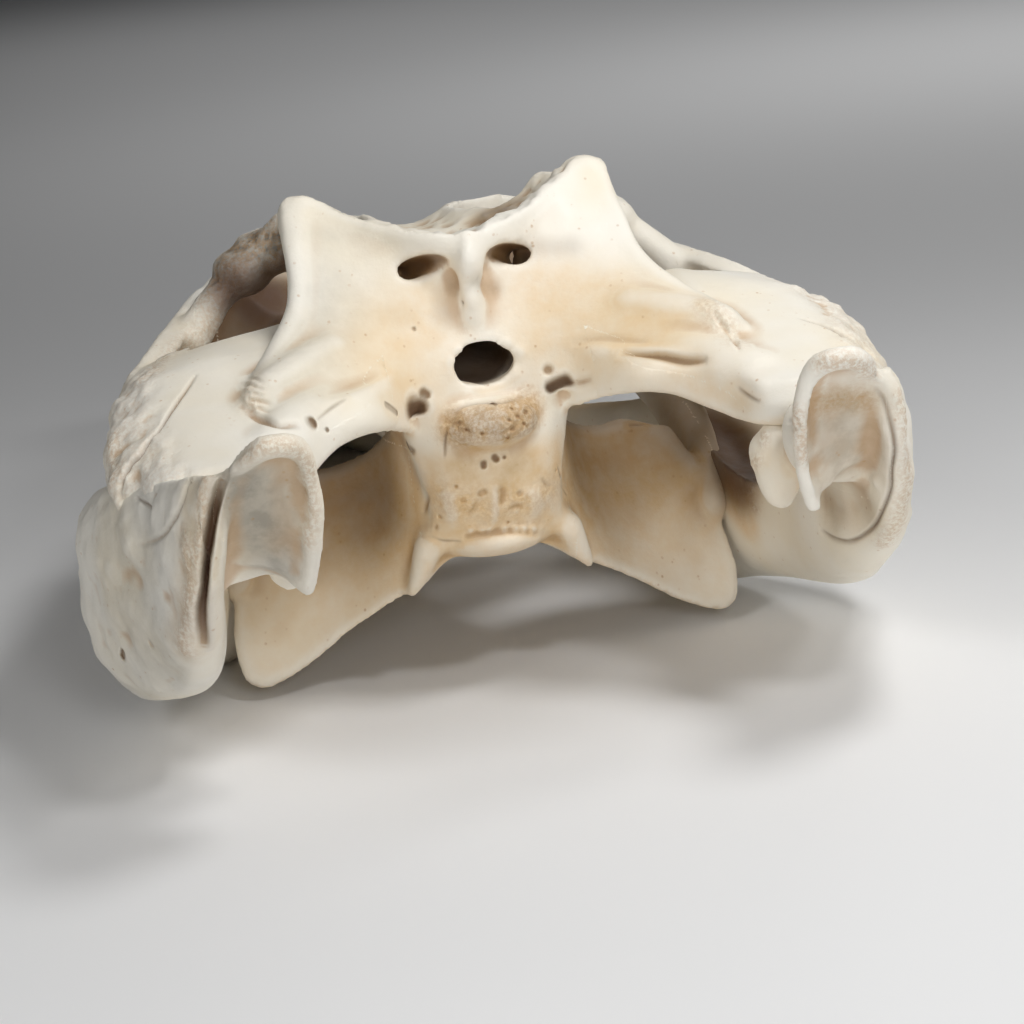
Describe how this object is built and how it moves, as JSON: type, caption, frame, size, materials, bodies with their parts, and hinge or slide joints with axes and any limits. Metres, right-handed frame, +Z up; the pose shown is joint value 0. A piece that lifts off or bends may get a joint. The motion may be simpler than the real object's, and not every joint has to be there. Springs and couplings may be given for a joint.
{
  "type": "crocodile skull",
  "caption": "Cleaned skull of a large crocodile with its lower jaw, mouth closed: long toothed snout, flat skull table, arched occiput and hooked jaw ends.",
  "frame": {"origin": "centre of the bounding box on the floor plane, under the middle of the skull", "axes": "+Y from the back of the head to the tip of the snout, +X to the animal's right, +Z up from the floor"},
  "size_m": [0.3342, 0.709, 0.2032],
  "materials": {
    "angular_left": "matte bone",
    "angular_right": "matte bone",
    "articular_left": "matte bone",
    "articular_right": "matte bone",
    "braincase": "matte bone",
    "dentary_left": "matte bone",
    "dentary_right": "matte bone",
    "jugal_left": "matte bone",
    "jugal_right": "matte bone",
    "palate": "matte bone",
    "pterygoid_left": "matte bone",
    "pterygoid_right": "matte bone",
    "quadrate_left": "matte bone",
    "quadrate_right": "matte bone",
    "rostrum": "matte bone"
  },
  "bodies": {
    "root": {"angular_left": "angular_left", "angular_right": "angular_right", "articular_left": "articular_left", "articular_right": "articular_right", "braincase": "braincase", "dentary_left": "dentary_left", "dentary_right": "dentary_right", "jugal_left": "jugal_left", "jugal_right": "jugal_right", "palate": "palate", "pterygoid_left": "pterygoid_left", "pterygoid_right": "pterygoid_right", "quadrate_left": "quadrate_left", "quadrate_right": "quadrate_right", "rostrum": "rostrum"}
  },
  "joints": []
}
